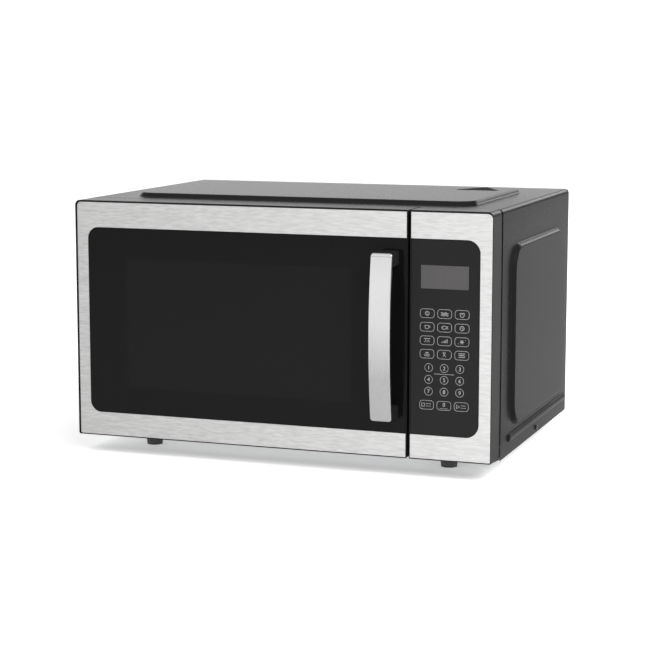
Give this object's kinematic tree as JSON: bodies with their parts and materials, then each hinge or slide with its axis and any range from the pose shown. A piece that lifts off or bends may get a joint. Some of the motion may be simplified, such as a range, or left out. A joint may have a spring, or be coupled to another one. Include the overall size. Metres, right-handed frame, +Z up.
{
  "type": "microwave oven",
  "caption": "Counter-top microwave oven with a side-hinged door, a bowed pull handle, a flat keypad, a glass turntable on rollers and a grill element.",
  "frame": {"origin": "on the floor under the middle of the oven's overall box, at the bottom of the feet", "axes": "+X to the right seen from the front, +Y from the door to the back, +Z up"},
  "size_m": [0.551, 0.421, 0.3245],
  "materials": {
    "painted_cover": "semi-gloss dark grey paint on pressed sheet steel",
    "zinc_sheet": "galvanised sheet, satin",
    "cavity_enamel": "light grey speckled enamel",
    "mica": "dull mica sheet",
    "heater_steel": "heat-darkened sheath",
    "transformer_iron": "varnished laminations",
    "capacitor_can": "drawn can",
    "bay_plastic": "glass-filled plastic",
    "fan_plastic": "moulded plastic",
    "lamp_white": "white holder",
    "coupler_plastic": "heat-resistant plastic",
    "tray_glass": "clear tempered glass",
    "roller_plastic": "white moulded plastic",
    "latch_plastic": "white acetal",
    "front_plastic": "fine-textured black moulded plastic",
    "brushed_trim": "horizontally brushed stainless steel",
    "black_panel": "gloss black film",
    "key_film": "gloss black film with pale printed outlines",
    "circuit_board": "solder mask",
    "gland_rubber": "black bushing",
    "foot_plastic": "black moulded rubber",
    "screw_steel": "black-plated steel",
    "door_glass": "near-opaque black-printed glass",
    "door_pan_paint": "dark baked paint",
    "choke_plastic": "black moulded plastic",
    "handle_metal": "satin metal"
  },
  "bodies": {
    "cabinet": {"outer_cover": "painted_cover", "base_plate": "zinc_sheet", "rear_panel": "zinc_sheet", "oven_cavity": "cavity_enamel", "waveguide_cover": "mica", "grill_heater": "heater_steel", "magnetron": "zinc_sheet", "transformer": "transformer_iron", "hv_capacitor": "capacitor_can", "fan_motor": "bay_plastic", "oven_lamp": "lamp_white", "turntable_motor": "zinc_sheet", "interlock_housing": "latch_plastic", "control_housing": "front_plastic", "control_trim": "brushed_trim", "keypad_panel": "black_panel", "control_board": "circuit_board", "cord_gland": "gland_rubber", "feet": "foot_plastic", "case_screws": "screw_steel", "hinge_brackets": "zinc_sheet"},
    "door": {"door_frame": "front_plastic", "door_trim": "brushed_trim", "door_glass": "door_glass", "door_pan": "door_pan_paint", "choke_cover": "choke_plastic", "handle_grip": "handle_metal", "handle_posts": "front_plastic"},
    "latch": {"door_latch": "latch_plastic"},
    "fan": {"fan_blade": "fan_plastic"},
    "coupler": {"turntable_coupler": "coupler_plastic"},
    "tray": {"glass_tray": "tray_glass"},
    "roller_ring": {"roller_ring": "roller_plastic"},
    "roller_1": {"roller_wheel_1": "roller_plastic"},
    "roller_2": {"roller_wheel_2": "roller_plastic"},
    "roller_3": {"roller_wheel_3": "roller_plastic"},
    "key_auto_1": {"key_auto_1": "key_film"},
    "key_auto_2": {"key_auto_2": "key_film"},
    "key_auto_3": {"key_auto_3": "key_film"},
    "key_auto_4": {"key_auto_4": "key_film"},
    "key_auto_5": {"key_auto_5": "key_film"},
    "key_auto_6": {"key_auto_6": "key_film"},
    "key_auto_7": {"key_auto_7": "key_film"},
    "key_auto_8": {"key_auto_8": "key_film"},
    "key_auto_9": {"key_auto_9": "key_film"},
    "key_auto_10": {"key_auto_10": "key_film"},
    "key_auto_11": {"key_auto_11": "key_film"},
    "key_auto_12": {"key_auto_12": "key_film"},
    "key_1": {"key_1": "key_film"},
    "key_2": {"key_2": "key_film"},
    "key_3": {"key_3": "key_film"},
    "key_4": {"key_4": "key_film"},
    "key_5": {"key_5": "key_film"},
    "key_6": {"key_6": "key_film"},
    "key_7": {"key_7": "key_film"},
    "key_8": {"key_8": "key_film"},
    "key_9": {"key_9": "key_film"},
    "key_stop": {"key_stop": "key_film"},
    "key_0": {"key_0": "key_film"},
    "key_start": {"key_start": "key_film"}
  },
  "joints": [
    {"name": "door_swing", "type": "hinge", "parent": "cabinet", "child": "door", "pos_m": [-0.2585, -0.1595, 0.171], "axis": [0, 0, -1], "range_deg": [0, 110]},
    {"name": "latch_lift", "type": "slide", "parent": "door", "child": "latch", "axis": [0, 0, 1], "range_m": [0, 0.006], "stiffness_N_per_m": 800, "springref_m": -0.002},
    {"name": "fan_spin", "type": "hinge", "parent": "cabinet", "child": "fan", "pos_m": [0.2, 0.1805, 0.225], "axis": [0, 1, 0], "continuous": true},
    {"name": "turntable_spin", "type": "hinge", "parent": "cabinet", "child": "coupler", "pos_m": [-0.05, 0.0298, 0.06], "axis": [0, 0, 1], "continuous": true},
    {"name": "tray_lift", "type": "slide", "parent": "coupler", "child": "tray", "axis": [0, 0, 1], "range_m": [0, 0.06]},
    {"name": "roller_ring_spin", "type": "hinge", "parent": "cabinet", "child": "roller_ring", "pos_m": [-0.05, 0.0298, 0.0623], "axis": [0, 0, 1], "continuous": true},
    {"name": "roller_1_spin", "type": "hinge", "parent": "roller_ring", "child": "roller_1", "pos_m": [0.054, 0.0298, 0.0623], "axis": [1, 0, 0], "continuous": true},
    {"name": "roller_2_spin", "type": "hinge", "parent": "roller_ring", "child": "roller_2", "pos_m": [-0.102, 0.11987, 0.0623], "axis": [-0.5, 0.866, 0], "continuous": true},
    {"name": "roller_3_spin", "type": "hinge", "parent": "roller_ring", "child": "roller_3", "pos_m": [-0.102, -0.06027, 0.0623], "axis": [-0.5, -0.866, 0], "continuous": true},
    {"name": "key_auto_1_press", "type": "slide", "parent": "cabinet", "child": "key_auto_1", "axis": [0, 1, 0], "range_m": [0, 0.0004], "stiffness_N_per_m": 400},
    {"name": "key_auto_2_press", "type": "slide", "parent": "cabinet", "child": "key_auto_2", "axis": [0, 1, 0], "range_m": [0, 0.0004], "stiffness_N_per_m": 400},
    {"name": "key_auto_3_press", "type": "slide", "parent": "cabinet", "child": "key_auto_3", "axis": [0, 1, 0], "range_m": [0, 0.0004], "stiffness_N_per_m": 400},
    {"name": "key_auto_4_press", "type": "slide", "parent": "cabinet", "child": "key_auto_4", "axis": [0, 1, 0], "range_m": [0, 0.0004], "stiffness_N_per_m": 400},
    {"name": "key_auto_5_press", "type": "slide", "parent": "cabinet", "child": "key_auto_5", "axis": [0, 1, 0], "range_m": [0, 0.0004], "stiffness_N_per_m": 400},
    {"name": "key_auto_6_press", "type": "slide", "parent": "cabinet", "child": "key_auto_6", "axis": [0, 1, 0], "range_m": [0, 0.0004], "stiffness_N_per_m": 400},
    {"name": "key_auto_7_press", "type": "slide", "parent": "cabinet", "child": "key_auto_7", "axis": [0, 1, 0], "range_m": [0, 0.0004], "stiffness_N_per_m": 400},
    {"name": "key_auto_8_press", "type": "slide", "parent": "cabinet", "child": "key_auto_8", "axis": [0, 1, 0], "range_m": [0, 0.0004], "stiffness_N_per_m": 400},
    {"name": "key_auto_9_press", "type": "slide", "parent": "cabinet", "child": "key_auto_9", "axis": [0, 1, 0], "range_m": [0, 0.0004], "stiffness_N_per_m": 400},
    {"name": "key_auto_10_press", "type": "slide", "parent": "cabinet", "child": "key_auto_10", "axis": [0, 1, 0], "range_m": [0, 0.0004], "stiffness_N_per_m": 400},
    {"name": "key_auto_11_press", "type": "slide", "parent": "cabinet", "child": "key_auto_11", "axis": [0, 1, 0], "range_m": [0, 0.0004], "stiffness_N_per_m": 400},
    {"name": "key_auto_12_press", "type": "slide", "parent": "cabinet", "child": "key_auto_12", "axis": [0, 1, 0], "range_m": [0, 0.0004], "stiffness_N_per_m": 400},
    {"name": "key_1_press", "type": "slide", "parent": "cabinet", "child": "key_1", "axis": [0, 1, 0], "range_m": [0, 0.0004], "stiffness_N_per_m": 400},
    {"name": "key_2_press", "type": "slide", "parent": "cabinet", "child": "key_2", "axis": [0, 1, 0], "range_m": [0, 0.0004], "stiffness_N_per_m": 400},
    {"name": "key_3_press", "type": "slide", "parent": "cabinet", "child": "key_3", "axis": [0, 1, 0], "range_m": [0, 0.0004], "stiffness_N_per_m": 400},
    {"name": "key_4_press", "type": "slide", "parent": "cabinet", "child": "key_4", "axis": [0, 1, 0], "range_m": [0, 0.0004], "stiffness_N_per_m": 400},
    {"name": "key_5_press", "type": "slide", "parent": "cabinet", "child": "key_5", "axis": [0, 1, 0], "range_m": [0, 0.0004], "stiffness_N_per_m": 400},
    {"name": "key_6_press", "type": "slide", "parent": "cabinet", "child": "key_6", "axis": [0, 1, 0], "range_m": [0, 0.0004], "stiffness_N_per_m": 400},
    {"name": "key_7_press", "type": "slide", "parent": "cabinet", "child": "key_7", "axis": [0, 1, 0], "range_m": [0, 0.0004], "stiffness_N_per_m": 400},
    {"name": "key_8_press", "type": "slide", "parent": "cabinet", "child": "key_8", "axis": [0, 1, 0], "range_m": [0, 0.0004], "stiffness_N_per_m": 400},
    {"name": "key_9_press", "type": "slide", "parent": "cabinet", "child": "key_9", "axis": [0, 1, 0], "range_m": [0, 0.0004], "stiffness_N_per_m": 400},
    {"name": "key_stop_press", "type": "slide", "parent": "cabinet", "child": "key_stop", "axis": [0, 1, 0], "range_m": [0, 0.0004], "stiffness_N_per_m": 400},
    {"name": "key_0_press", "type": "slide", "parent": "cabinet", "child": "key_0", "axis": [0, 1, 0], "range_m": [0, 0.0004], "stiffness_N_per_m": 400},
    {"name": "key_start_press", "type": "slide", "parent": "cabinet", "child": "key_start", "axis": [0, 1, 0], "range_m": [0, 0.0004], "stiffness_N_per_m": 400}
  ],
  "couplings": [
    {"joint": "roller_ring_spin", "follows": "turntable_spin", "ratio": 0.5},
    {"joint": "roller_1_spin", "follows": "turntable_spin", "ratio": -6.5},
    {"joint": "roller_2_spin", "follows": "turntable_spin", "ratio": -6.5},
    {"joint": "roller_3_spin", "follows": "turntable_spin", "ratio": -6.5}
  ]
}
